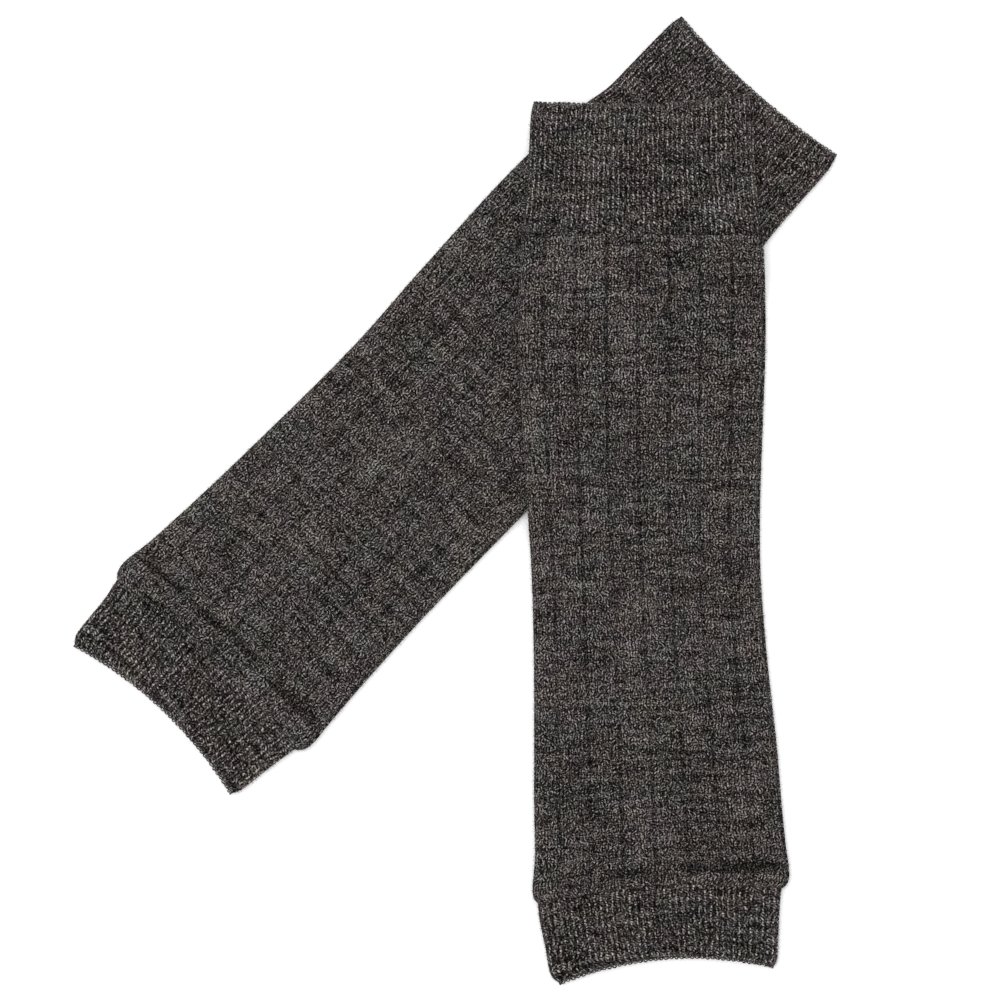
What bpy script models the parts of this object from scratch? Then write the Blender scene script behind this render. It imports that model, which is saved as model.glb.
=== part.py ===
"""Pair of knitted leg warmers, laid flat with one lying across the other.

Each leg warmer is a flattened, open-ended tube with three stretches: a fine ribbed top cuff,
a wide-ribbed leg that swells a little over the ankle, and a fine ribbed ankle cuff.
Units are metres, except in the tables, which are in millimetres. +Z is up, and the origin is
on the surface that both lie on, at the middle of the pair.
"""

import math
from collections import namedtuple

import bmesh
import bpy
from mathutils import Matrix, Vector

MM = 0.001

# Cloth
WALL = 1.7 * MM             # one thickness of the knit
JOIN_GAP = 0.3 * MM         # clear space between two stretches, and between crossing cloths
FOLD_SEGMENTS = 4           # straight steps round each side fold

# Where the ankle end of each leg warmer lies, and where its top end points
UNDER_ANKLE = Vector((-137.8, -98.1, 0.0)) * MM
UNDER_HEADING = math.radians(46.3)
OVER_ANKLE = Vector((94.8, -219.7, 0.0)) * MM
OVER_HEADING = math.radians(91.4)

# How the upper leg warmer comes down to the surface beside the lower one
CROSSING_HEIGHT = 4.4 * MM  # thickness of the lower leg warmer where it is crossed
LEVEL_MARGIN = 6.0 * MM     # stays level this far past the lower one's side
RAMP_LENGTH = 16.0 * MM     # then comes down over this length
UNDER_LEFT = -54.8 * MM     # sides of the lower one along the crossing
UNDER_RIGHT = 59.3 * MM

# A section is a flattened ring: where it is along the leg, its two sides, its thickness,
# how far its middle runs ahead of its sides, and how far its right side runs ahead of its left
Section = namedtuple("Section", "along left right height bow slant")
Stretch = namedtuple("Stretch", "name columns step sections")

OVER_STRETCHES = (
    Stretch("over_ankle_cuff", 9, 12.0, (
        Section(0.3, -46.8, 53.3, 3.6, 8.0, 2.9),
        Section(3.2, -49.6, 54.4, 4.0, 7.6, 2.8),
        Section(8.0, -51.3, 55.0, 4.0, 7.2, 2.7),
        Section(15.0, -52.5, 55.5, 4.0, 6.4, 2.5),
        Section(29.0, -54.7, 56.6, 4.0, 5.2, 2.3),
        Section(37.0, -55.2, 57.2, 4.0, 4.6, 2.1),
    )),
    Stretch("over_leg", 12, 12.0, (
        Section(37.0, -55.6, 57.6, 4.2, 4.6, 2.1),
        Section(39.6, -57.0, 59.6, 5.2, 4.4, 2.0),
        Section(43.5, -57.5, 60.4, 5.6, 4.0, 1.8),
        Section(49.0, -57.2, 60.2, 4.8, 3.2, 1.4),
        Section(57.0, -56.5, 59.6, 4.6, 2.2, 0.8),
        Section(81.0, -56.3, 58.0, 4.4, 0.8, 0.0),
        Section(104.0, -55.7, 56.6, 4.4, 0.0, -0.3),
        Section(145.0, -54.8, 53.2, 4.4, 0.0, -0.6),
        Section(184.0, -54.8, 51.0, 4.4, 0.0, -1.0),
        Section(215.0, -56.0, 51.5, 4.4, 0.0, -1.4),
        Section(257.0, -57.6, 54.0, 4.4, 0.0, -1.8),
        Section(291.0, -58.4, 56.0, 4.4, 0.0, -2.1),
        Section(313.0, -57.7, 56.4, 4.4, 0.0, -2.3),
        Section(342.3, -55.6, 55.6, 4.2, 0.0, -2.5),
    )),
    Stretch("over_top_cuff", 12, 10.0, (
        Section(342.3, -55.2, 55.2, 4.1, 0.0, -2.5),
        Section(344.6, -55.1, 55.1, 4.1, 0.0, -2.4),
        Section(352.0, -53.8, 54.2, 4.0, 0.0, -2.0),
        Section(368.0, -52.1, 52.8, 4.0, -0.4, -1.2),
        Section(382.0, -51.1, 52.3, 4.0, -1.2, -0.6),
        Section(398.0, -49.7, 52.5, 4.0, -2.2, -0.1),
        Section(404.6, -48.6, 52.2, 3.6, -3.0, 0.2),
    )),
)

UNDER_STRETCHES = (
    Stretch("under_ankle_cuff", 8, 14.0, (
        Section(-3.7, -49.4, 51.2, 3.6, 6.8, 0.2),
        Section(0.0, -51.6, 52.9, 4.0, 6.2, 0.2),
        Section(9.0, -52.6, 54.2, 4.0, 5.4, 0.1),
        Section(20.0, -53.6, 55.8, 4.0, 4.6, 0.0),
        Section(32.0, -55.4, 57.8, 4.0, 3.8, 0.0),
    )),
    Stretch("under_leg", 8, 28.0, (
        Section(32.0, -55.8, 58.2, 4.2, 3.8, 0.0),
        Section(34.6, -57.6, 60.4, 5.2, 3.6, 0.0),
        Section(39.0, -58.6, 61.4, 5.6, 3.2, 0.0),
        Section(46.0, -58.1, 61.3, 4.8, 2.6, 0.0),
        Section(55.0, -56.9, 60.7, 4.6, 2.0, 0.0),
        Section(83.0, -55.0, 59.5, 4.4, 0.8, 0.0),
        Section(120.0, -53.2, 58.7, 4.4, 0.0, 0.0),
        Section(185.0, -51.4, 59.2, 4.4, 0.0, 0.2),
        Section(231.0, -53.2, 59.3, 4.4, 0.0, 0.4),
        Section(291.0, -54.7, 58.6, 4.4, 0.0, 0.6),
        Section(325.0, -53.2, 57.0, 4.4, 0.0, 0.8),
        Section(341.5, -51.4, 55.0, 4.2, 0.0, 1.0),
    )),
    Stretch("under_top_cuff", 8, 14.0, (
        Section(341.5, -51.0, 54.6, 4.1, 0.0, 1.0),
        Section(343.8, -50.9, 54.5, 4.1, 0.0, 1.0),
        Section(354.0, -48.7, 53.2, 4.0, -0.4, 1.2),
        Section(370.0, -48.5, 52.2, 4.0, -1.2, 1.4),
        Section(394.0, -48.2, 51.2, 4.0, -2.6, 1.6),
        Section(401.2, -47.2, 49.4, 3.6, -3.4, 1.7),
    )),
)


def clear_scene():
    for obj in list(bpy.data.objects):
        bpy.data.objects.remove(obj)


def smooth_step(value):
    """0 to 1 with level ends."""
    value = min(1.0, max(0.0, value))
    return value * value * (3.0 - 2.0 * value)


def slope_at(sections, index, column):
    """Rate of change of a column at a section, from the sections on both sides."""
    before = sections[max(index - 1, 0)]
    after = sections[min(index + 1, len(sections) - 1)]
    change = getattr(after, column) - getattr(before, column)
    return change / (after.along - before.along)


def section_between(sections, index, part):
    """Section part of the way from section index to the next, on smooth cubic curves."""
    first, second = sections[index], sections[index + 1]
    span = second.along - first.along
    start_weight = 1.0 - part * part * (3.0 - 2.0 * part)
    columns = {"along": first.along + part * span}
    for column in ("left", "right", "height", "bow", "slant"):
        rise_in = slope_at(sections, index, column) * span
        rise_out = slope_at(sections, index + 1, column) * span
        value = start_weight * getattr(first, column) + (1.0 - start_weight) * getattr(second, column)
        value += part * (1.0 - part) * ((1.0 - part) * rise_in - part * rise_out)
        columns[column] = value
    return Section(**columns)


def sections_along(stretch):
    """The stretch's sections with more between them, no further apart than its step."""
    sections = trimmed(stretch.sections)
    filled = []
    for index in range(len(sections) - 1):
        span = sections[index + 1].along - sections[index].along
        steps = math.ceil(span / stretch.step)
        filled += [section_between(sections, index, step / steps) for step in range(steps)]
    return filled + [sections[-1]]


def trimmed(sections):
    """Both end sections drawn in by half of the gap between neighbouring stretches."""
    trim = 0.5 * JOIN_GAP / MM
    first = sections[0]._replace(along=sections[0].along + trim)
    last = sections[-1]._replace(along=sections[-1].along - trim)
    return [first, *sections[1:-1], last]


def ring_outline(section, columns):
    """(across, up) points round one flattened ring: flat below and above, round at the folds."""
    radius = section.height / 2.0
    left, right = section.left + radius, section.right - radius
    flat = [left + (right - left) * step / columns for step in range(columns + 1)]
    angles = [math.pi * step / FOLD_SEGMENTS for step in range(1, FOLD_SEGMENTS)]
    below = [(across, 0.0) for across in flat]
    right_fold = [(right + radius * math.sin(a), radius - radius * math.cos(a)) for a in angles]
    above = [(across, section.height) for across in reversed(flat)]
    left_fold = [(left - radius * math.sin(a), radius + radius * math.cos(a)) for a in angles]
    return below + right_fold + above + left_fold


def ring_points(section, columns):
    """Points of one ring in the leg warmer's own frame: X across, Y along, Z up."""
    middle = (section.left + section.right) / 2.0
    half_width = (section.right - section.left) / 2.0
    points = []
    for across, up in ring_outline(section, columns):
        side = (across - middle) / half_width
        along = section.along + section.bow * (1.0 - side * side) + section.slant * side
        points.append(Vector((across, along, up)) * MM)
    return points


def crossing_lift(point):
    """How far cloth is lifted over a point of the lower leg warmer's own frame."""
    outside = max(UNDER_LEFT - point.x, point.x - UNDER_RIGHT)
    fall = smooth_step((outside - LEVEL_MARGIN) / RAMP_LENGTH)
    return (CROSSING_HEIGHT + JOIN_GAP) * (1.0 - fall)


def knit_material(name, colour, roughness):
    material = bpy.data.materials.new(name)
    material.use_nodes = True
    shader = material.node_tree.nodes["Principled BSDF"]
    shader.inputs["Base Color"].default_value = (*colour, 1.0)
    shader.inputs["Roughness"].default_value = roughness
    shader.inputs["Metallic"].default_value = 0.0
    return material


def tube_mesh(name, rings):
    """Open tube of quads through equal rings, its faces pointing outwards."""
    shape = bmesh.new()
    rows = [[shape.verts.new(point) for point in ring] for ring in rings]
    count = len(rings[0])
    for row, next_row in zip(rows, rows[1:]):
        for column in range(count):
            beside = (column + 1) % count
            shape.faces.new((row[column], next_row[column], next_row[beside], row[beside]))
    mesh = bpy.data.meshes.new(name)
    shape.to_mesh(mesh)
    shape.free()
    return mesh


def add_stretch(stretch, frame_empty, to_lower, collection, material):
    """One knitted stretch: an open tube that Solidify gives its wall."""
    rings = [ring_points(section, stretch.columns) for section in sections_along(stretch)]
    if to_lower:
        for ring in rings:
            for point in ring:
                point.z += crossing_lift(to_lower @ point)
    mesh = tube_mesh(stretch.name, rings)
    mesh.materials.append(material)
    tube = bpy.data.objects.new(stretch.name, mesh)
    tube.parent = frame_empty
    collection.objects.link(tube)
    wall = tube.modifiers.new("knit wall", "SOLIDIFY")
    wall.thickness = WALL
    wall.offset = -1.0
    wall.use_even_offset = True
    return tube


def add_frame(name, ankle, heading, collection):
    """Empty at a leg warmer's ankle end, its Y along the leg; returns it and its matrix."""
    empty = bpy.data.objects.new(name, None)
    turn = heading - math.pi / 2.0
    empty.location = ankle
    empty.rotation_euler = (0.0, 0.0, turn)
    collection.objects.link(empty)
    return empty, Matrix.Translation(ankle) @ Matrix.Rotation(turn, 4, "Z")


def build_pair():
    clear_scene()
    collection = bpy.data.collections.new("pair_of_leg_warmers")
    bpy.context.scene.collection.children.link(collection)
    under_empty, under_frame = add_frame("under", UNDER_ANKLE, UNDER_HEADING, collection)
    over_empty, over_frame = add_frame("over", OVER_ANKLE, OVER_HEADING, collection)
    to_lower = under_frame.inverted() @ over_frame
    for stretch in UNDER_STRETCHES:
        material = knit_material(stretch.name + "_knit", (0.052, 0.045, 0.042), 0.95)
        add_stretch(stretch, under_empty, None, collection, material)
    for stretch in OVER_STRETCHES:
        material = knit_material(stretch.name + "_knit", (0.056, 0.048, 0.045), 0.95)
        add_stretch(stretch, over_empty, to_lower, collection, material)


build_pair()
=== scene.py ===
import math
import bpy
import numpy as np
from mathutils import Matrix, Vector


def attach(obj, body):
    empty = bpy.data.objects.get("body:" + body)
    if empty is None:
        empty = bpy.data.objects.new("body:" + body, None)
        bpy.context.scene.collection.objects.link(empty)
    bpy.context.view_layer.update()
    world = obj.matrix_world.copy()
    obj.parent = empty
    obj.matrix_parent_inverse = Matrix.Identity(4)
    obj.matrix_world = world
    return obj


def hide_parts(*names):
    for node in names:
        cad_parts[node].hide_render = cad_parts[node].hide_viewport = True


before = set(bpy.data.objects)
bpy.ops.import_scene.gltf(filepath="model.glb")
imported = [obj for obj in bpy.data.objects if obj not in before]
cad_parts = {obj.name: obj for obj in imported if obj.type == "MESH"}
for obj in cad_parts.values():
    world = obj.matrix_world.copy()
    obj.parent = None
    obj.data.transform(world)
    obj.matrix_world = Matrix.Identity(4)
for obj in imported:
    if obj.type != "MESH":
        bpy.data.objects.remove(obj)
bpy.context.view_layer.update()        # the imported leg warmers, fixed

mm = 0.001
sectionColumns = ("along", "left", "right", "height", "bow", "slant")  # a flattened ring, in mm

print("leg warmers: frame loaded")


underLay = {"name": "under", "ankle": (-137.8, -98.1), "heading": 46.3}
overLay = {"name": "over", "ankle": (94.8, -219.7), "heading": 91.4}

crossing = {
    "top": 4.75,          # mm, underside of the upper cloth where it lies on the lower leg warmer
    "left": -53.5,        # mm, sides of the lower leg warmer, in its own frame
    "right": 58.8,
    "level": 2.5,         # mm it stays level past a side
    "ramp": 12.0,         # mm it then takes to come down
}


def layMatrix(lay):
    x, y = lay["ankle"]
    turn = math.radians(lay["heading"]) - math.pi / 2
    return Matrix.Translation((x * mm, y * mm, 0)) @ Matrix.Rotation(turn, 4, "Z")


def smoothStep(value):
    value = np.clip(value, 0.0, 1.0)
    return value * value * (3.0 - 2.0 * value)


def crossingLift(points):  # height that the upper one gains over the lower one, in the upper one's frame
    toLower = np.array(layMatrix(underLay).inverted() @ layMatrix(overLay))
    across = points @ toLower[0, :3] + toLower[0, 3]
    outside = np.maximum(crossing["left"] * mm - across, across - crossing["right"] * mm)
    fall = smoothStep((outside / mm - crossing["level"]) / crossing["ramp"])
    return crossing["top"] * mm * (1.0 - fall)


# knit of each kind: mesh columns a wale, mm a course and a mesh row, wales a rib, mm a wale
wideRib = {"perWale": 2, "course": 1.125, "rowStep": 1.4, "ribWales": 10, "wale": 1.45, "fine": False}
wideRib["fibre"] = 1.75   # strength of the fine slanting fibres
cuffRib = {"perWale": 3, "course": 1.43, "rowStep": 1.43, "ribWales": 2, "wale": 1.17, "fine": True}
cuffRib["fibre"] = 1.6

overAnkleCuff = {
    "name": "overAnkleCuffKnit", "node": "over_ankle_cuff", "slot": "cuff_knit",
    "wales": 170, "lay": overLay, "rib": cuffRib, "openEnd": "start", "flat": (0.214, 0.037),
    "sections": (
        (-0.2, -46.8, 53.0, 3.8, 8.0, 2.6),
        (2.6, -49.8, 54.6, 4.2, 7.4, 2.6),
        (8.0, -51.4, 55.2, 4.2, 7.0, 2.5),
        (15.0, -52.3, 55.6, 4.2, 6.2, 2.4),
        (29.0, -54.9, 56.6, 4.2, 5.2, 2.2),
        (37.0, -55.6, 57.6, 4.2, 4.6, 2.1),
    ),
    "creases": (),
    "bands": (),   # along, half width, paler
}
overLeg = {
    "name": "overLegKnit", "node": "over_leg", "slot": "leg_knit",
    "wales": 160, "lay": overLay, "rib": wideRib, "openEnd": None, "flat": (0.226, 0.306),
    "sections": (
        (36.6, -56.0, 58.2, 4.4, 4.6, 2.1),
        (39.0, -57.6, 60.2, 5.6, 4.5, 2.0),
        (43.0, -58.0, 61.0, 5.9, 4.0, 1.8),
        (48.5, -57.4, 60.8, 5.0, 3.2, 1.4),
        (57.0, -56.5, 59.8, 4.8, 2.2, 0.8),
        (81.0, -56.3, 58.1, 4.5, 0.8, 0.0),
        (104.0, -55.7, 56.8, 4.5, 0.0, -0.3),
        (145.0, -54.8, 53.3, 4.5, 0.0, -0.6),
        (184.0, -54.8, 51.2, 4.5, 0.0, -1.0),
        (215.0, -56.0, 51.6, 4.5, 0.0, -1.4),
        (257.0, -57.6, 54.0, 4.5, 0.0, -1.8),
        (291.0, -58.4, 56.0, 4.5, 0.0, -2.1),
        (313.0, -57.7, 56.4, 4.5, 0.0, -2.3),
        (342.5, -55.6, 55.6, 4.3, 0.0, -2.5),
    ),
    "creases": (
        # across0, along0, across1, along1, half width, depth, bend
        (6.0, 48.6, 64.0, 48.8, 1.3, 1.0, 0.6),
        (-30.0, 44.0, 10.0, 48.4, 1.3, 0.8, 0.8),
        (-60.0, 41.5, -26.0, 44.5, 1.2, 0.5, 0.4),
    ),
    "bands": ((344.0, 1.6, -0.12), (200.0, 26.0, -0.010), (96.0, 40.0, -0.022)),   # along, half width, how much lighter; the dark band at 344 is painted shade where leg and cuff join
}
overTopCuff = {
    "name": "overTopCuffKnit", "node": "over_top_cuff", "slot": "cuff_knit",
    "wales": 188, "lay": overLay, "rib": cuffRib, "openEnd": "end", "flat": (0.214, 0.063),
    "sections": (
        (342.1, -55.6, 55.6, 4.3, 0.0, -2.5),
        (352.0, -53.9, 54.3, 4.2, 0.0, -2.0),
        (368.0, -52.1, 52.8, 4.1, -0.4, -1.2),
        (382.0, -51.1, 52.3, 4.1, -1.2, -0.6),
        (398.0, -49.9, 52.5, 4.1, -2.2, -0.1),
        (404.9, -48.8, 52.2, 3.8, -3.0, 0.2),
    ),
    "creases": (
        (-54.0, 366.0, 30.0, 365.0, 2.4, 0.2, -0.8),
        (20.0, 372.0, 54.0, 374.0, 3.0, 0.12, 0.5),
    ),
    "bands": ((342.0, 1.6, -0.12), (355.0, 3.5, 0.03), (400.5, 2.2, 0.05)),   # along, half width, how much lighter; the dark band at 342 is painted shade where cuff and leg join
}
underAnkleCuff = {
    "name": "underAnkleCuffKnit", "node": "under_ankle_cuff", "slot": "cuff_knit",
    "wales": 170, "lay": underLay, "rib": cuffRib, "openEnd": "start", "flat": (0.214, 0.036),
    "sections": (
        (-3.9, -49.4, 51.2, 3.8, 6.8, 0.2),
        (0.0, -51.7, 53.1, 4.2, 6.2, 0.2),
        (9.0, -52.8, 54.4, 4.2, 5.4, 0.1),
        (20.0, -53.6, 56.0, 4.2, 4.6, 0.0),
        (32.0, -55.8, 58.2, 4.2, 3.8, 0.0),
    ),
    "creases": (),
    "bands": (),   # along, half width, paler
}
underLeg = {
    "name": "underLegKnit", "node": "under_leg", "slot": "leg_knit",
    "wales": 160, "lay": underLay, "rib": wideRib, "openEnd": None, "flat": (0.226, 0.310),
    "sections": (
        (31.6, -56.2, 58.8, 4.4, 3.8, 0.0),
        (34.2, -58.0, 61.0, 5.5, 3.6, 0.0),
        (39.0, -59.0, 62.0, 5.8, 3.2, 0.0),
        (46.0, -58.3, 61.6, 5.0, 2.6, 0.0),
        (55.0, -57.0, 60.9, 4.8, 2.0, 0.0),
        (83.0, -55.0, 59.6, 4.5, 0.8, 0.0),
        (120.0, -53.2, 58.8, 4.5, 0.0, 0.0),
        (185.0, -51.4, 59.3, 4.5, 0.0, 0.2),
        (231.0, -53.2, 59.4, 4.5, 0.0, 0.4),
        (291.0, -54.7, 58.7, 4.5, 0.0, 0.6),
        (325.0, -53.2, 57.0, 4.5, 0.0, 0.8),
        (341.6, -51.4, 55.0, 4.3, 0.0, 1.0),
    ),
    "creases": (
        (-60.0, 46.2, -22.0, 48.0, 1.3, 0.8, 0.5),
        (-20.0, 48.4, 20.0, 48.6, 1.2, 0.9, 0.6),
        (22.0, 47.6, 63.0, 45.5, 1.3, 0.8, 0.4),
    ),
    "bands": (),   # along, half width, paler
}
underTopCuff = {
    "name": "underTopCuffKnit", "node": "under_top_cuff", "slot": "cuff_knit",
    "wales": 186, "lay": underLay, "rib": cuffRib, "openEnd": "end", "flat": (0.210, 0.062),
    "sections": (
        (341.2, -51.4, 55.0, 4.3, 0.0, 1.0),
        (354.0, -48.8, 53.3, 4.2, -0.4, 1.2),
        (370.0, -48.5, 52.3, 4.1, -1.2, 1.4),
        (394.0, -48.2, 51.3, 4.1, -2.6, 1.6),
        (401.3, -47.4, 49.6, 3.8, -3.4, 1.7),
    ),
    "creases": (),
    "bands": ((397.0, 2.0, 0.03),),   # along, half width, paler
}
stretches = (underAnkleCuff, underLeg, underTopCuff, overAnkleCuff, overLeg, overTopCuff)

cloth = {
    "wall": 1.7,           # mm
    "innerStep": 6.0,      # mm between rows of the hidden inner face
    "hemSteps": 6,         # rows round an open end
    "hemRelief": 0.35,     # share of the rib height left on a hem
    "joinSteps": 4,
    "joinRound": 0.35,     # mm, how round a joined end is
    "fadeIn": 2.5,         # mm from an end over which the ribs rise
    "foldDroop": 0.45,     # mm the panels thin down towards their side folds
    "foldReach": 4.5,
    "foldSheenReach": 5.5,       # mm from a side fold over which a painted sheen lightens the yarn
    "swell": 0.22,         # mm, slow unevenness of the laid cloth
    "creaseDark": 1.6,     # how far beyond its width a crease is shaded
}


def readSections(rows, along):  # section values at each distance along, on smooth curves through the rows
    table = np.array(rows, float)
    station, values = table[:, 0], table[:, 1:]
    slopes = np.empty_like(values)
    slopes[1:-1] = (values[2:] - values[:-2]) / (station[2:] - station[:-2])[:, None]
    slopes[0] = (values[1] - values[0]) / (station[1] - station[0])
    slopes[-1] = (values[-1] - values[-2]) / (station[-1] - station[-2])
    index = np.clip(np.searchsorted(station, along) - 1, 0, len(station) - 2)
    span = (station[index + 1] - station[index])[:, None]
    part = (along[:, None] - station[index][:, None]) / span
    rise = part * part * (3.0 - 2.0 * part)
    value = (1.0 - rise) * values[index] + rise * values[index + 1]
    value += part * (1.0 - part) * ((1.0 - part) * slopes[index] - part * slopes[index + 1]) * span
    return {name: value[:, i, None] for i, name in enumerate(sectionColumns[1:])}


def ringPlace(section, turn):  # across, up and outward direction a share of the way round a flattened ring
    radius = section["height"] / 2
    left, right = section["left"] + radius, section["right"] - radius
    flat = right - left
    fold = math.pi * radius
    way = turn * 2 * (flat + fold)
    leftAngle = np.clip((way - flat / 2) / radius, 0, math.pi)
    rightAngle = np.clip((way - 1.5 * flat - fold) / radius, 0, math.pi)
    bounds = [flat / 2, flat / 2 + fold, 1.5 * flat + fold, 1.5 * flat + 2 * fold]
    zone = sum((way >= bound).astype(int) for bound in bounds)
    middle = (left + right) / 2
    none = 0 * way
    across = np.choose(zone, [
        middle - way, left - radius * np.sin(leftAngle), left + way - bounds[1],
        right + radius * np.sin(rightAngle), right - (way - bounds[3])])
    up = np.choose(zone, [
        none, radius - radius * np.cos(leftAngle), none + section["height"],
        radius + radius * np.cos(rightAngle), none])
    outX = np.choose(zone, [none, -np.sin(leftAngle), none, np.sin(rightAngle), none])
    outZ = np.choose(zone, [none - 1, -np.cos(leftAngle), none + 1, np.cos(rightAngle), none - 1])
    return across, up, outX, outZ


def creaseDepth(creases, across, along, spread=1.0):  # how far the front sinks at each crease
    sunk = np.zeros_like(across)
    for x0, y0, x1, y1, width, depth, bend in creases:
        run = np.array((x1 - x0, y1 - y0))
        length = np.hypot(*run)
        share = ((across - x0) * run[0] + (along - y0) * run[1]) / length ** 2
        off = ((across - x0) * -run[1] + (along - y0) * run[0]) / length
        off = off - bend * 4 * share * (1 - share)
        taper = smoothStep(share / 0.18) * smoothStep((1 - share) / 0.18)
        sunk += depth * taper * np.exp(-(off / (width * spread)) ** 2)
    return sunk


def slowWaves(across, along, seed):  # gentle uneven swell from a few long waves
    chooser = np.random.default_rng(seed)
    waves = 7
    total = np.zeros_like(across)
    for _ in range(waves):
        length = chooser.uniform(28, 75)
        angle = chooser.uniform(0, math.pi)
        phase = chooser.uniform(0, 2 * math.pi)
        total += np.sin((across * math.cos(angle) + along * math.sin(angle)) * 2 * math.pi / length + phase)
    return total / waves


def endRows(at, outward, isOpen):  # rows round one end of the wall: along, depth, relief, along unrolled
    roundness = cloth["wall"] / 2 if isOpen else cloth["joinRound"]
    steps = cloth["hemSteps"] if isOpen else cloth["joinSteps"]
    rows = []
    for step in range(1, steps):
        angle = math.pi * step / steps
        depth = roundness * (1 - math.cos(angle))
        if angle > math.pi / 2:
            depth += cloth["wall"] - 2 * roundness
        reach = roundness * math.sin(angle)
        rows.append((at + outward * (reach - roundness), depth, cloth["hemRelief"], at + outward * reach))
    return rows


def rowPlan(piece):  # rows of one tube wall: outside, round one end, inside, round the other end
    start, end = piece["sections"][0][0], piece["sections"][-1][0]
    isOpen = {side: piece["openEnd"] == side for side in ("start", "end")}
    pull = {side: cloth["wall"] / 2 if isOpen[side] else cloth["joinRound"] for side in isOpen}
    low, high = start + pull["start"], end - pull["end"]
    outer = max(8, round((end - start) / piece["rib"]["rowStep"]))
    inner = max(3, round((end - start) / cloth["innerStep"]))
    rows = []
    for along in np.linspace(low, high, outer + 1):
        fade = min(1.0, min(along - low, high - along) / cloth["fadeIn"])
        rows.append((along, 0.0, cloth["hemRelief"] + (1 - cloth["hemRelief"]) * fade, along))
    rows += endRows(end, 1, isOpen["end"])
    rows += [(along, cloth["wall"], 0.0, along) for along in np.linspace(high, low, inner + 1)]
    rows += endRows(start, -1, isOpen["start"])[::-1]
    return np.array(rows)


def placeOnFloor(piece, points):  # from the piece's own frame to the part's, lifted over the crossing
    points = points.reshape(-1, 3) * mm
    if piece["lay"] is overLay:
        points[:, 2] += crossingLift(points)
    place = np.array(layMatrix(piece["lay"]))
    return points @ place[:3, :3].T + place[:3, 3]


def addAttribute(mesh, name, values, kind="FLOAT"):
    layer = mesh.attributes.new(name, kind, "POINT")
    field = "vector" if kind == "FLOAT_VECTOR" else "value"
    layer.data.foreach_set(field, np.asarray(values, np.float32).ravel())


def knitTube(piece, seed):  # closed wall of one stretch, with its wale and course numbers
    rib = piece["rib"]
    columns = piece["wales"] * rib["perWale"]
    plan = rowPlan(piece)
    wale = np.arange(columns) / rib["perWale"]
    turn = np.broadcast_to(wale / piece["wales"], (len(plan), columns))
    reach = (piece["sections"][0][0], piece["sections"][-1][0])
    section = readSections(piece["sections"], np.clip(plan[:, 0], *reach))
    across, up, outX, outZ = ringPlace(section, turn)
    middle = (section["left"] + section["right"]) / 2
    half = (section["right"] - section["left"]) / 2
    side = (across - middle) / half
    along = plan[:, 0, None] + section["bow"] * (1 - side ** 2) + section["slant"] * side
    front = np.clip(outZ, 0, 1)
    fromFold = half - np.abs(across - middle)
    thin = cloth["foldDroop"] * np.exp(-(fromFold / cloth["foldReach"]) ** 2)
    sunk = creaseDepth(piece["creases"], across, along) * front
    shaded = creaseDepth(piece["creases"], across, along, cloth["creaseDark"]) * front
    swell = cloth["swell"] * slowWaves(across, along, seed) * front
    push = swell - thin * front - sunk - plan[:, 1, None]
    points = np.stack([across + outX * push, along, up + outZ * push], axis=-1)
    points = placeOnFloor(piece, points)

    rowCount = len(plan)
    row, column = np.meshgrid(np.arange(rowCount), np.arange(columns), indexing="ij")
    nextRow, nextColumn = (row + 1) % rowCount, (column + 1) % columns
    corners = np.stack([row * columns + column, row * columns + nextColumn,
                        nextRow * columns + nextColumn, nextRow * columns + column], axis=-1).reshape(-1, 4)
    mesh = bpy.data.meshes.new(piece["name"])
    mesh.vertices.add(len(points))
    mesh.vertices.foreach_set("co", points.ravel())
    mesh.loops.add(corners.size)
    mesh.loops.foreach_set("vertex_index", corners.ravel())
    mesh.polygons.add(len(corners))
    mesh.polygons.foreach_set("loop_start", np.arange(0, corners.size, 4))
    mesh.update(calc_edges=True)

    course = plan[:, 3] / rib["course"]
    uAcross = np.stack([column, column + 1, column + 1, column], axis=-1) / rib["perWale"]
    vAlong = np.stack([course[row], course[row], course[nextRow], course[nextRow]], axis=-1)
    stitches = mesh.uv_layers.new(name="stitches")
    stitches.data.foreach_set("uv", np.stack([uAcross, vAlong], axis=-1).astype(np.float32).ravel())

    outside = (plan[:, 1, None] < cloth["wall"] * 0.6) * np.ones_like(across)
    # painted sheen along the side folds, then the bands: painted shade at the joins, plain tone elsewhere
    paintedLightAndTone = fold["paintedSheen"] * np.exp(-(fromFold / cloth["foldSheenReach"]) ** 2)
    for at, width, lift in piece["bands"]:
        paintedLightAndTone = paintedLightAndTone + lift * np.exp(-((along - at) / width) ** 2)
    hem = np.zeros_like(across)
    if piece["openEnd"]:
        edge = reach[0] if piece["openEnd"] == "start" else reach[1]
        hem = np.exp(-((plan[:, 0, None] - edge) / fuzz["hemReach"]) ** 2) * np.ones_like(across)
    atFold = np.exp(-(fromFold / fuzz["foldReach"]) ** 2)
    hairs = outside * (outZ > -0.35) * (fuzz["open"] + fuzz["fold"] * np.maximum(atFold, hem))
    addAttribute(mesh, "wale", np.tile(wale, rowCount))
    addAttribute(mesh, "course", np.repeat(course, columns))
    addAttribute(mesh, "relief", np.repeat(plan[:, 2], columns) * np.where(outZ.ravel() < -0.7, 0.3, 1.0))
    # painted sheen at the side folds and painted shade at the joins, with bands of plain tone
    addAttribute(mesh, "paintedLightAndTone", paintedLightAndTone)
    # painted shade around each crease, reaching past its width
    addAttribute(mesh, "paintedCreaseShade", shaded)
    addAttribute(mesh, "hairs", hairs)
    return mesh


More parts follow.
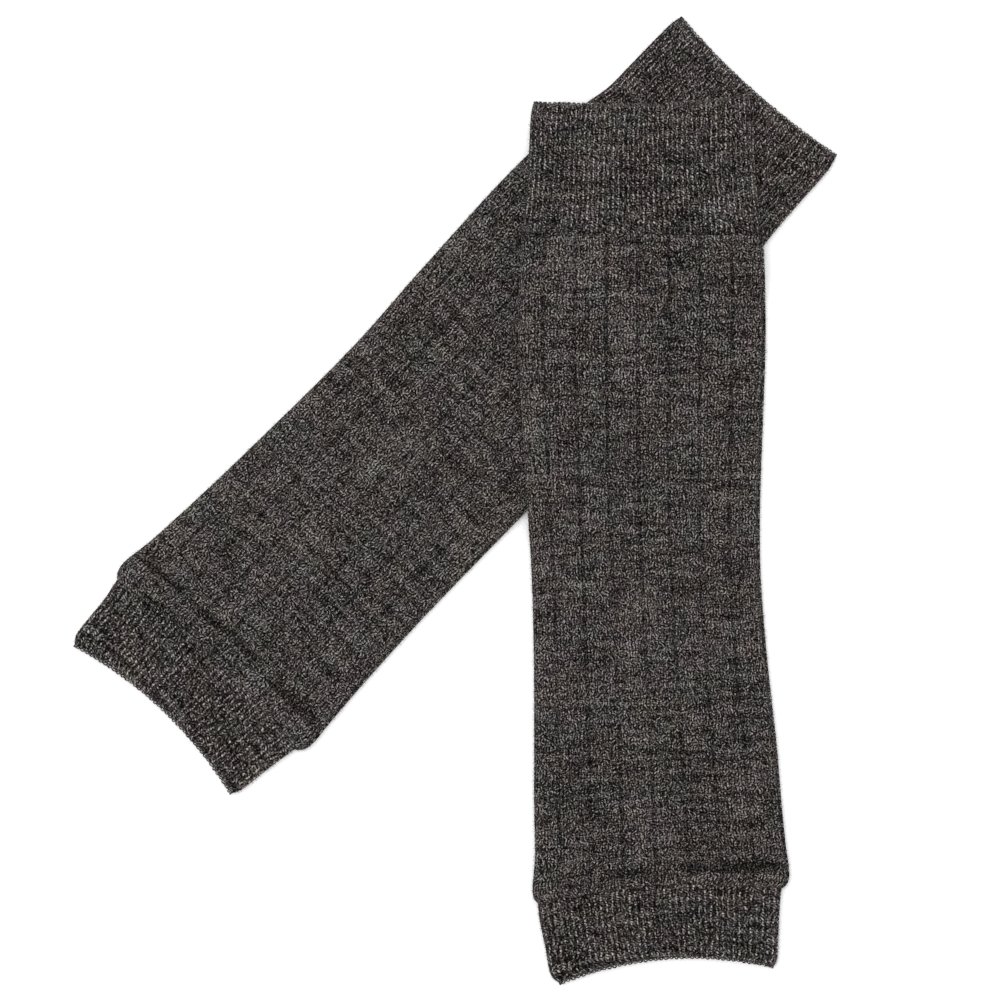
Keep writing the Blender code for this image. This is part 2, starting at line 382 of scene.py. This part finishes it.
fold = {"paintedSheen": 0.035}     # how much lighter the yarn is made by a painted sheen along the side folds
fuzz = {
    "open": 0.045,         # hairs a square mm on the faces
    "fold": 0.5,          # more of them on side folds and hems
    "foldReach": 2.6,      # mm from a fold
    "hemReach": 1.2,       # mm from an open edge
    "thickness": 0.055,    # mm, radius of a hair
    "length": 0.95,        # mm
}


# node helpers: sockets take a number, a tuple or another node's output
def putValue(tree, value, target):
    if isinstance(value, (int, float, tuple)):
        target.default_value = value
    else:
        tree.links.new(value, target)


def mathNode(tree, operation, *values):
    node = tree.nodes.new("ShaderNodeMath")
    node.operation = operation
    for socket, value in zip(node.inputs, values):
        putValue(tree, value, socket)
    return node.outputs[0]


def chain(tree, start, *steps):  # start, then one operation after another on it
    for operation, *values in steps:
        start = mathNode(tree, operation, start, *values)
    return start


def vectorNode(tree, operation, a, b=None, scale=None):
    node = tree.nodes.new("ShaderNodeVectorMath")
    node.operation = operation
    putValue(tree, a, node.inputs[0])
    if b is not None:
        putValue(tree, b, node.inputs[1])
    if scale is not None:
        putValue(tree, scale, node.inputs["Scale"])
    return node.outputs[0]


def combine(tree, x, y, z=0.0):
    node = tree.nodes.new("ShaderNodeCombineXYZ")
    for socket, value in zip(node.inputs, (x, y, z)):
        putValue(tree, value, socket)
    return node.outputs[0]


def remap(tree, value, fromLow, fromHigh, toLow, toHigh):
    node = tree.nodes.new("ShaderNodeMapRange")
    node.clamp = True
    for socket, v in zip(node.inputs, (value, fromLow, fromHigh, toLow, toHigh)):
        putValue(tree, v, socket)
    return node.outputs[0]


def noiseNode(tree, vector, scale, detail=2.0, dimensions="2D"):
    node = tree.nodes.new("ShaderNodeTexNoise")
    node.noise_dimensions = dimensions
    tree.links.new(vector, node.inputs["Vector"])
    node.inputs["Scale"].default_value = scale
    node.inputs["Detail"].default_value = detail
    return node


def centred(tree, value, reach):  # a noise value as a shift of up to about half of reach either way
    return chain(tree, value, ("SUBTRACT", 0.5), ("MULTIPLY", reach))


def geometryTree(name, inputs):  # new geometry tree with named inputs, and its input and output nodes
    tree = bpy.data.node_groups.new(name, "GeometryNodeTree")
    tree.interface.new_socket("Geometry", in_out="INPUT", socket_type="NodeSocketGeometry")
    tree.interface.new_socket("Geometry", in_out="OUTPUT", socket_type="NodeSocketGeometry")
    for label, value in inputs.items():
        kind = {int: "NodeSocketInt", float: "NodeSocketFloat"}.get(type(value), "NodeSocketMaterial")
        socket = tree.interface.new_socket(label, in_out="INPUT", socket_type=kind)
        if value is not None:
            socket.default_value = value
    entry = tree.nodes.new("NodeGroupInput")
    leave = tree.nodes.new("NodeGroupOutput")
    return tree, entry, leave


def applyTree(obj, tree, values):  # inputs set by identifier, then the result made a plain mesh
    modifier = obj.modifiers.new(tree.name, "NODES")
    modifier.node_group = tree
    for item in tree.interface.items_tree:
        if item.item_type == "SOCKET" and item.in_out == "INPUT" and item.name in values:
            modifier[item.identifier] = values[item.name]
    obj.update_tag()
    bpy.context.view_layer.update()
    evaluated = obj.evaluated_get(bpy.context.evaluated_depsgraph_get())
    mesh = bpy.data.meshes.new_from_object(evaluated)
    obj.modifiers.remove(modifier)
    old = obj.data
    obj.data = mesh
    bpy.data.meshes.remove(old)
    mesh.name = obj.name


def namedValue(tree, name, kind="FLOAT"):
    node = tree.nodes.new("GeometryNodeInputNamedAttribute")
    node.data_type = kind
    node.inputs["Name"].default_value = name
    return node.outputs["Attribute"]


def finishTree(tree, geometry, entry, leave):
    realize = tree.nodes.new("GeometryNodeRealizeInstances")
    setMaterial = tree.nodes.new("GeometryNodeSetMaterial")
    tree.links.new(geometry, realize.inputs[0])
    tree.links.new(realize.outputs[0], setMaterial.inputs["Geometry"])
    tree.links.new(entry.outputs["Material"], setMaterial.inputs["Material"])
    tree.links.new(setMaterial.outputs[0], leave.inputs[0])


def shiftAlongNormal(tree, geometry, amount):
    normal = tree.nodes.new("GeometryNodeInputNormal")
    place = tree.nodes.new("GeometryNodeSetPosition")
    tree.links.new(geometry, place.inputs["Geometry"])
    tree.links.new(vectorNode(tree, "SCALE", normal.outputs[0], scale=amount), place.inputs["Offset"])
    return place.outputs[0]


def keepAboveSurface(tree, geometry):
    position = tree.nodes.new("GeometryNodeInputPosition")
    parts = tree.nodes.new("ShaderNodeSeparateXYZ")
    tree.links.new(position.outputs[0], parts.inputs[0])
    height = mathNode(tree, "MAXIMUM", parts.outputs[2], 0.0)
    raised = combine(tree, parts.outputs[0], parts.outputs[1], height)
    place = tree.nodes.new("GeometryNodeSetPosition")
    tree.links.new(geometry, place.inputs["Geometry"])
    tree.links.new(raised, place.inputs["Position"])
    return place.outputs[0]


def wideRibTree():  # flat ribs of nine knit wales with one sunk wale between them
    tree, entry, leave = geometryTree("raiseWideRibs", {
        "Rib Wales": 10.0, "Groove Wale": 8.5, "Groove Depth": 0.7 * mm, "Groove Width": 0.62,
        "Rib Crown": 0.22 * mm, "Wale Height": 0.1 * mm, "Unevenness": 1.6, "Material": None})
    ribWales = entry.outputs["Rib Wales"]
    wale, course, relief = (namedValue(tree, name) for name in ("wale", "course", "relief"))
    shifted = mathNode(tree, "SUBTRACT", wale, entry.outputs["Groove Wale"])
    phase = chain(tree, shifted, ("DIVIDE", ribWales), ("FRACT",))
    fromGroove = chain(tree, phase, ("PINGPONG", 0.5), ("MULTIPLY", ribWales))
    narrow = chain(tree, fromGroove, ("DIVIDE", entry.outputs["Groove Width"]), ("POWER", 2.0),
                   ("MULTIPLY", -1.0))
    ribIndex = chain(tree, shifted, ("ADD", 5.0), ("DIVIDE", ribWales), ("FLOOR",), ("MULTIPLY", 7.3))
    place = combine(tree, ribIndex, mathNode(tree, "MULTIPLY", course, 0.06))
    uneven = centred(tree, noiseNode(tree, place, 1.0).outputs[0], entry.outputs["Unevenness"])
    depth = chain(tree, narrow, ("EXPONENT",), ("MULTIPLY", entry.outputs["Groove Depth"]),
                  ("MULTIPLY", mathNode(tree, "ADD", uneven, 1.0)))
    crown = chain(tree, phase, ("MULTIPLY", math.pi), ("SINE",), ("MULTIPLY", entry.outputs["Rib Crown"]))
    waves = chain(tree, wale, ("SUBTRACT", 0.5), ("MULTIPLY", 2 * math.pi), ("COSINE",),
                  ("MULTIPLY", entry.outputs["Wale Height"]))
    height = mathNode(tree, "ADD", mathNode(tree, "SUBTRACT", crown, depth), waves)
    moved = shiftAlongNormal(tree, entry.outputs["Geometry"], mathNode(tree, "MULTIPLY", height, relief))
    finishTree(tree, keepAboveSurface(tree, moved), entry, leave)
    return tree


def fineRibTree():  # one knit wale up, one purl wale down
    tree, entry, leave = geometryTree("raiseFineRibs", {
        "Rib Wales": 2.0, "Rib Height": 0.24 * mm, "Squareness": 0.7, "Material": None})
    wale, relief = (namedValue(tree, name) for name in ("wale", "relief"))
    wave = chain(tree, wale, ("SUBTRACT", 0.5), ("DIVIDE", entry.outputs["Rib Wales"]),
                 ("MULTIPLY", 2 * math.pi), ("COSINE",))
    size = chain(tree, wave, ("ABSOLUTE",), ("POWER", entry.outputs["Squareness"]))
    height = chain(tree, wave, ("SIGN",), ("MULTIPLY", size), ("MULTIPLY", entry.outputs["Rib Height"]),
                   ("MULTIPLY", relief))
    moved = shiftAlongNormal(tree, entry.outputs["Geometry"], height)
    finishTree(tree, keepAboveSurface(tree, moved), entry, leave)
    return tree


def tubeFrom(tree, curve, radius, sides, capped):
    profile = tree.nodes.new("GeometryNodeCurvePrimitiveCircle")
    profile.inputs["Resolution"].default_value = sides
    putValue(tree, radius, profile.inputs["Radius"])
    tube = tree.nodes.new("GeometryNodeCurveToMesh")
    tree.links.new(curve, tube.inputs["Curve"])
    tree.links.new(profile.outputs[0], tube.inputs["Profile Curve"])
    tube.inputs["Fill Caps"].default_value = capped
    return tube.outputs[0]


def randomVector(tree, low, high, seed):
    node = tree.nodes.new("FunctionNodeRandomValue")
    node.data_type = "FLOAT_VECTOR"
    node.inputs[0].default_value = low
    node.inputs[1].default_value = high
    putValue(tree, seed, node.inputs["Seed"])
    return node.outputs[0]


def looseHairTree():  # short bent hairs standing off the knit
    tree, entry, leave = geometryTree("looseHairs", {
        "Length": 1.0 * mm, "Thickness": 0.05 * mm, "Seed": 1, "Material": None})
    points = tree.nodes.new("GeometryNodeDistributePointsOnFaces")
    tree.links.new(entry.outputs["Geometry"], points.inputs["Mesh"])
    density = chain(tree, namedValue(tree, "hairs"), ("DIVIDE", mm * mm))
    tree.links.new(density, points.inputs["Density"])
    tree.links.new(entry.outputs["Seed"], points.inputs["Seed"])
    hair = tree.nodes.new("GeometryNodeCurveQuadraticBezier")
    hair.inputs["Resolution"].default_value = 2
    length = entry.outputs["Length"]
    tree.links.new(vectorNode(tree, "SCALE", (0.0, 0.0, -0.3), scale=length), hair.inputs["Start"])
    tree.links.new(vectorNode(tree, "SCALE", (0.1, 0.0, 0.6), scale=length), hair.inputs["Middle"])
    tree.links.new(vectorNode(tree, "SCALE", (0.6, 0.0, 0.9), scale=length), hair.inputs["End"])
    tube = tubeFrom(tree, hair.outputs[0], entry.outputs["Thickness"], 3, True)
    tilt = tree.nodes.new("FunctionNodeEulerToRotation")
    anyWay = randomVector(tree, (-1.2, -1.2, 0.0), (1.2, 1.2, 2 * math.pi), entry.outputs["Seed"])
    tree.links.new(anyWay, tilt.inputs[0])
    turned = tree.nodes.new("FunctionNodeRotateRotation")
    turned.rotation_space = "LOCAL"
    tree.links.new(points.outputs["Rotation"], turned.inputs[0])
    tree.links.new(tilt.outputs[0], turned.inputs[1])
    place = tree.nodes.new("GeometryNodeInstanceOnPoints")
    tree.links.new(points.outputs["Points"], place.inputs["Points"])
    tree.links.new(tube, place.inputs["Instance"])
    tree.links.new(turned.outputs[0], place.inputs["Rotation"])
    sizeSeed = mathNode(tree, "ADD", entry.outputs["Seed"], 5.0)
    size = randomVector(tree, (0.7, 0.7, 0.45), (1.1, 1.1, 1.35), sizeSeed)
    tree.links.new(size, place.inputs["Scale"])
    finishTree(tree, keepAboveSurface(tree, place.outputs[0]), entry, leave)
    return tree


edgeLoops = {"every": 2, "width": 0.86, "height": 0.62, "thickness": 0.30, "depth": 0.55}  # wales, then mm


def edgePoints(piece):  # one point for each cast-off loop, with the way of the edge and of the cloth's face
    count = round(piece["wales"] / edgeLoops["every"])
    edge = piece["sections"][0 if piece["openEnd"] == "start" else -1][0]
    outward = -1 if piece["openEnd"] == "start" else 1
    turn = (np.arange(count)[None, :] + 0.5) / count
    step = 0.002
    section = readSections(piece["sections"], np.array([edge]))
    middle = (section["left"] + section["right"]) / 2
    half = (section["right"] - section["left"]) / 2

    def pointsAt(turn):
        across, up, outX, outZ = ringPlace(section, turn)
        side = (across - middle) / half
        along = edge + section["bow"] * (1 - side ** 2) + section["slant"] * side + outward * 0.1
        depth = -edgeLoops["depth"]
        points = np.stack([across + outX * depth, along, up + outZ * depth], axis=-1)
        return placeOnFloor(piece, points), np.stack([outX, 0 * outX, outZ], axis=-1).reshape(-1, 3)

    points, face = pointsAt(turn)
    ahead, _ = pointsAt((turn + step) % 1.0)
    turnFrame = np.array(layMatrix(piece["lay"]))[:3, :3]
    mesh = bpy.data.meshes.new(piece["name"].replace("Knit", "EdgeLoops"))
    mesh.vertices.add(count)
    mesh.vertices.foreach_set("co", points.ravel())
    addAttribute(mesh, "edgeWay", ahead - points, "FLOAT_VECTOR")
    addAttribute(mesh, "faceWay", face @ turnFrame.T, "FLOAT_VECTOR")
    return mesh


def edgeLoopTree():  # a small cast-off loop at each point of an open edge
    tree, entry, leave = geometryTree("castOffLoops", {
        "Width": edgeLoops["width"] * mm, "Height": edgeLoops["height"] * mm,
        "Thickness": edgeLoops["thickness"] * mm, "Seed": 3, "Material": None})
    ring = tree.nodes.new("GeometryNodeCurvePrimitiveCircle")
    ring.inputs["Resolution"].default_value = 10
    ring.inputs["Radius"].default_value = 1.0
    shaped = tree.nodes.new("GeometryNodeTransform")
    tree.links.new(ring.outputs[0], shaped.inputs["Geometry"])
    sizes = combine(tree, entry.outputs["Width"], entry.outputs["Height"], 1.0)
    tree.links.new(sizes, shaped.inputs["Scale"])
    tube = tubeFrom(tree, shaped.outputs[0], entry.outputs["Thickness"], 6, False)
    rotation = None
    for axis, pivot, attribute in (("X", "AUTO", "edgeWay"), ("Z", "X", "faceWay")):
        align = tree.nodes.new("FunctionNodeAlignRotationToVector")
        align.axis = axis
        align.pivot_axis = pivot
        tree.links.new(namedValue(tree, attribute, "FLOAT_VECTOR"), align.inputs["Vector"])
        if rotation:
            tree.links.new(rotation, align.inputs["Rotation"])
        rotation = align.outputs[0]
    place = tree.nodes.new("GeometryNodeInstanceOnPoints")
    tree.links.new(entry.outputs["Geometry"], place.inputs["Points"])
    tree.links.new(tube, place.inputs["Instance"])
    tree.links.new(rotation, place.inputs["Rotation"])
    size = randomVector(tree, (0.8, 0.8, 0.9), (1.15, 1.2, 1.1), entry.outputs["Seed"])
    tree.links.new(size, place.inputs["Scale"])
    finishTree(tree, keepAboveSurface(tree, place.outputs[0]), entry, leave)
    return tree


melange = {
    "shades": (            # from dark to pale, and the yarn's colour there
        (0.25, (0.0004, 0.0003, 0.0003)),
        (0.40, (0.016, 0.0134, 0.0125)),
        (0.55, (0.052, 0.0455, 0.0425)),
        (0.70, (0.120, 0.108, 0.102)),
        (0.92, (0.36, 0.335, 0.32)),
    ),
    "marl": 0.42,          # pale and dark pieces of yarn within a stitch
    "stitch": 0.2,         # one stitch against the next
    "fibreScale": 0.6,     # a mm
    "fibreFrequency": 1.25,
    "fibreOrder": 0.45,
    "fibreLean": 0.85,     # radians either way
    "run": 0.42,           # long pale and dark runs of yarn round the leg
    "patch": 0.14,         # slow changes over the whole piece
    "slant": 1.25,         # courses that a stitch's arm rises
    "gapShade": 0.14,      # how dark it is between the yarns
    "wander": (0.4, 0.6, 0.2, 0.3),  # unevenness of wales and courses, slow then quick
    "hollowWide": 0.3,     # shade in the sunk wale between wide ribs
    "hollowFine": 0.4,     # shade in the fine rib's purl wales
    "creaseShade": 0.45,
}
dyePatches = (             # faint changes of dye: scale a metre, then the tint at either end
    (70.0, (0.96, 1.0, 1.03), (1.05, 0.985, 0.985)),
    (95.0, (1.016, 0.984, 1.024), (0.992, 1.02, 0.945)),
)


def colourRamp(tree, value, stops):
    ramp = tree.nodes.new("ShaderNodeValToRGB")
    tree.links.new(value, ramp.inputs[0])
    elements = ramp.color_ramp.elements
    while len(elements) < len(stops):
        elements.new(0.5)
    for element, (position, colour) in zip(elements, stops):
        element.position = position
        element.color = (*colour, 1)
    return ramp.outputs[0]


def whiteNoise(tree, x, y, z):
    node = tree.nodes.new("ShaderNodeTexWhiteNoise")
    node.noise_dimensions = "3D"
    tree.links.new(combine(tree, x, y, z), node.inputs["Vector"])
    return node.outputs["Value"]


def pieceValue(tree, name):
    node = tree.nodes.new("ShaderNodeAttribute")
    node.attribute_name = name
    return node.outputs["Fac"]


def woolShader(name):
    material = bpy.data.materials.new(name)
    material.use_nodes = True
    tree = material.node_tree
    shader = tree.nodes["Principled BSDF"]
    shader.inputs["Roughness"].default_value = 0.95
    shader.inputs["Specular IOR Level"].default_value = 0.05
    shader.inputs["Sheen Weight"].default_value = 0.02
    shader.inputs["Sheen Roughness"].default_value = 0.5
    coords = tree.nodes.new("ShaderNodeTexCoord")
    return material, tree, shader, coords.outputs["Object"]


def dyed(tree, colour, coords):
    for scale, low, high in dyePatches:
        noise = noiseNode(tree, coords, scale, 1.0, "3D")
        tint = colourRamp(tree, noise.outputs[0], ((0.3, low), (0.7, high)))
        colour = vectorNode(tree, "MULTIPLY", colour, tint)
    return colour


def knitFinish(name, rib):
    material, tree, shader, objectCoords = woolShader(name)
    coords = tree.nodes.new("ShaderNodeUVMap")
    coords.uv_map = "stitches"
    place = tree.nodes.new("ShaderNodeSeparateXYZ")
    tree.links.new(coords.outputs[0], place.inputs[0])
    slowU, slowV, quickU, quickV = melange["wander"]
    drift = []             # wale and course, each a little uneven
    for scale, reaches in ((0.23, (slowU, slowV)), (0.9, (quickU, quickV))):
        noise = tree.nodes.new("ShaderNodeSeparateColor")
        tree.links.new(noiseNode(tree, coords.outputs[0], scale, 1.0).outputs["Color"], noise.inputs[0])
        drift.append([centred(tree, noise.outputs[i], reaches[i]) for i in range(2)])
    u = chain(tree, place.outputs[0], ("ADD", drift[0][0]), ("ADD", drift[1][0]))
    v = chain(tree, place.outputs[1], ("ADD", drift[0][1]), ("ADD", drift[1][1]))

    # a V of two slanting arms in each wale, or one long slant over a fine rib
    inWale = mathNode(tree, "FRACT", u)
    if rib["fine"]:
        rise = chain(tree, u, ("MULTIPLY", 0.5), ("ADD", 0.25), ("FRACT",))
        slanted = mathNode(tree, "ADD", v, rise)
    else:
        rise = chain(tree, inWale, ("SUBTRACT", 0.5), ("ABSOLUTE",), ("MULTIPLY", 2 * melange["slant"]))
        slanted = mathNode(tree, "SUBTRACT", v, rise)
    arm = chain(tree, u, ("MULTIPLY", 2.0), ("FLOOR",))
    course = mathNode(tree, "FLOOR", slanted)
    acrossYarn = chain(tree, inWale, ("MULTIPLY", math.pi), ("SINE",), ("POWER", 0.7))
    alongYarn = chain(tree, slanted, ("FRACT",), ("MULTIPLY", math.pi), ("SINE",), ("POWER", 0.7))
    yarn = mathNode(tree, "MULTIPLY", acrossYarn, alongYarn)

    # each stitch and each piece of marl has its own shade, and so have long runs of courses
    marlStep = chain(tree, rise, ("MULTIPLY", 1.4), ("ADD", whiteNoise(tree, arm, course, 3.0)), ("FLOOR",))
    marl = whiteNoise(tree, arm, course, marlStep)
    stitch = whiteNoise(tree, arm, course, 7.0)
    longWay = combine(tree, chain(tree, u, ("MULTIPLY", 0.06)), chain(tree, v, ("MULTIPLY", 0.45)))
    run = noiseNode(tree, longWay, 1.0).outputs[0]
    patch = noiseNode(tree, objectCoords, 28.0, 3.0, "3D").outputs[0]

    # fine fibres that lean one way or the other
    flatU = mathNode(tree, "MULTIPLY", u, rib["wale"])
    flatV = mathNode(tree, "MULTIPLY", v, rib["course"])
    flatPlace = combine(tree, flatU, flatV)
    fibre = tree.nodes.new("ShaderNodeTexGabor")
    fibre.gabor_type = "2D"
    tree.links.new(flatPlace, fibre.inputs["Vector"])
    fibre.inputs["Scale"].default_value = melange["fibreScale"]
    fibre.inputs["Frequency"].default_value = melange["fibreFrequency"]
    fibre.inputs["Anisotropy"].default_value = melange["fibreOrder"]
    side = noiseNode(tree, vectorNode(tree, "ADD", flatPlace, (31.0, 17.0, 0.0)), 0.35, 0.0).outputs[0]
    lean = remap(tree, side, 0.48, 0.52, -melange["fibreLean"], melange["fibreLean"])
    tree.links.new(lean, fibre.inputs["Orientation"])

    # the yarn's tone also takes in the painted sheen at the side folds and the painted shade at the joins
    shade = chain(tree, centred(tree, marl, melange["marl"]),
                  ("ADD", centred(tree, stitch, melange["stitch"])),
                  ("ADD", centred(tree, fibre.outputs[0], rib["fibre"])),
                  ("ADD", centred(tree, run, melange["run"])),
                  ("ADD", centred(tree, patch, melange["patch"])),
                  ("ADD", pieceValue(tree, "paintedLightAndTone")), ("ADD", 0.5 + rib["lift"]))
    colour = dyed(tree, colourRamp(tree, shade, melange["shades"]), objectCoords)

    # painted shade in sunk wales and creases, uneven along their length
    if rib["fine"]:
        hollowU = chain(tree, drift[0][0], ("MULTIPLY", 0.4), ("ADD", place.outputs[0]))
        phase = chain(tree, hollowU, ("SUBTRACT", 0.5), ("MULTIPLY", math.pi), ("COSINE",))
        hollow = remap(tree, phase, -0.95, 0.3, melange["hollowFine"], 1.15)
    else:
        hollowU = chain(tree, drift[0][0], ("MULTIPLY", 0.5), ("ADD", place.outputs[0]))
        away = chain(tree, hollowU, ("SUBTRACT", 8.5), ("DIVIDE", rib["ribWales"]), ("FRACT",),
                     ("PINGPONG", 0.5), ("MULTIPLY", rib["ribWales"]))
        broken = noiseNode(tree, coords.outputs[0], 0.14, 2.0).outputs[0]
        deepest = remap(tree, broken, 0.38, 0.6, 0.85, melange["hollowWide"])
        hollow = remap(tree, away, 0.12, 0.65, deepest, 1.0)
    gap = remap(tree, yarn, 0.02, 0.7, melange["gapShade"], 1.0)
    paintedCreaseShade = remap(tree, pieceValue(tree, "paintedCreaseShade"), 0.05, 0.8, 1.0, melange["creaseShade"])
    light = chain(tree, gap, ("MULTIPLY", hollow), ("MULTIPLY", paintedCreaseShade))
    tree.links.new(vectorNode(tree, "SCALE", colour, scale=light), shader.inputs["Base Color"])

    bump = tree.nodes.new("ShaderNodeBump")
    bump.inputs["Strength"].default_value = 0.7
    bump.inputs["Distance"].default_value = 0.3 * mm
    height = mathNode(tree, "ADD", yarn, chain(tree, fibre.outputs[0], ("MULTIPLY", 0.35)))
    tree.links.new(height, bump.inputs["Height"])
    tree.links.new(bump.outputs[0], shader.inputs["Normal"])
    return material


def yarnFinish(name, scale, lift):  # single hairs and edge loops, pale and dark by turns
    material, tree, shader, objectCoords = woolShader(name)
    noise = noiseNode(tree, objectCoords, scale, 2.0, "3D").outputs[0]
    shade = chain(tree, centred(tree, noise, 1.6), ("ADD", 0.5 + lift))
    colour = dyed(tree, colourRamp(tree, shade, melange["shades"]), objectCoords)
    tree.links.new(colour, shader.inputs["Base Color"])
    bump = tree.nodes.new("ShaderNodeBump")
    bump.inputs["Strength"].default_value = 0.4
    bump.inputs["Distance"].default_value = 0.1 * mm
    tree.links.new(noise, bump.inputs["Height"])
    tree.links.new(bump.outputs[0], shader.inputs["Normal"])
    return material


wideRib["lift"] = 0.012
cuffRib["lift"] = 0.035    # the fine ribs look as pale as the wide ones, for all their hollows
legFinish = knitFinish("charcoalWideRibKnit", wideRib)
cuffFinish = knitFinish("charcoalFineRibKnit", cuffRib)
hairFinish = yarnFinish("charcoalLooseHairs", 500.0, 0.02)
edgeFinish = yarnFinish("charcoalEdgeYarn", 900.0, 0.08)
wideTree, fineTree, hairTree, loopTree = wideRibTree(), fineRibTree(), looseHairTree(), edgeLoopTree()
print("finishes and node trees made")


def newPiece(name, mesh):
    piece = bpy.data.objects.new(name, mesh)
    bpy.context.scene.collection.objects.link(piece)
    return piece


pieces, trims = {}, {}
for number, settings in enumerate(stretches):
    name, isFine = settings["name"], settings["rib"]["fine"]
    piece = newPiece(name, knitTube(settings, 11 + number))
    applyTree(piece, fineTree if isFine else wideTree, {"Material": cuffFinish if isFine else legFinish})
    piece.data.shade_smooth()
    hairs = newPiece(name.replace("Knit", "LooseHairs"), piece.data.copy())
    applyTree(hairs, hairTree, {
        "Length": fuzz["length"] * mm, "Thickness": fuzz["thickness"] * mm, "Seed": 20 + number,
        "Material": hairFinish})
    pieces[name], trims[name] = piece, [hairs]
    if settings["openEnd"]:
        loops = newPiece(name.replace("Knit", "EdgeLoops"), edgePoints(settings))
        applyTree(loops, loopTree, {"Seed": 40 + number, "Material": edgeFinish})
        loops.data.shade_smooth()
        trims[name].append(loops)
    print("knitted", name, [len(p.data.polygons) for p in [piece] + trims[name]], "faces")

for settings in stretches:
    name = settings["name"]
    for piece in [pieces[name]] + trims[name]:
        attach(piece, "root")
    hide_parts(settings["node"])

studio = {
    "floor": 0.95,
    "world": 1.0,
    "softbox": 16.0,       # W
    "softboxSize": 1.6,    # m
    "softboxPlace": (-0.35, 0.35, 1.7),
    "lens": 100.0,         # mm
    "view": 0.4624,        # m of the surface across the picture
    "centre": (0.0208, 0.0),
    "floorReach": 3.0,     # m
    "floorDrop": 0.0002,
}


def makeStudio():
    scene = bpy.context.scene
    reach = studio["floorReach"]
    corners = [(-reach, -reach, 0), (reach, -reach, 0), (reach, reach, 0), (-reach, reach, 0)]
    floorMesh = bpy.data.meshes.new("paleFloor")
    floorMesh.from_pydata(corners, [], [(0, 1, 2, 3)])
    floor = newPiece("paleFloor", floorMesh)
    floor.location.z = -studio["floorDrop"]
    floorFinish = bpy.data.materials.new("paleSurface")
    floorFinish.use_nodes = True
    floorShader = floorFinish.node_tree.nodes["Principled BSDF"]
    floorShader.inputs["Base Color"].default_value = (studio["floor"],) * 3 + (1,)
    floorShader.inputs["Roughness"].default_value = 0.9
    floorShader.inputs["Specular IOR Level"].default_value = 0.1
    floorMesh.materials.append(floorFinish)

    world = bpy.data.worlds.new("softRoom")
    scene.world = world
    world.use_nodes = True
    world.node_tree.nodes["Background"].inputs[0].default_value = (1, 1, 1, 1)
    world.node_tree.nodes["Background"].inputs[1].default_value = studio["world"]

    light = bpy.data.lights.new("softbox", "AREA")
    light.shape = "SQUARE"
    light.size = studio["softboxSize"]
    light.energy = studio["softbox"]
    lamp = newPiece("softbox", light)
    lamp.location = studio["softboxPlace"]
    lamp.rotation_euler = (-lamp.location).to_track_quat("-Z", "Y").to_euler()

    cameraData = bpy.data.cameras.new("overhead")
    cameraData.lens = studio["lens"]
    camera = newPiece("overhead", cameraData)
    distance = studio["view"] * studio["lens"] / cameraData.sensor_width
    camera.location = (*studio["centre"], distance + 0.004)
    scene.camera = camera
    scene.view_settings.view_transform = "Standard"
    scene.cycles.use_denoising = False      # it would smear the fine stitches


makeStudio()
print("studio set")
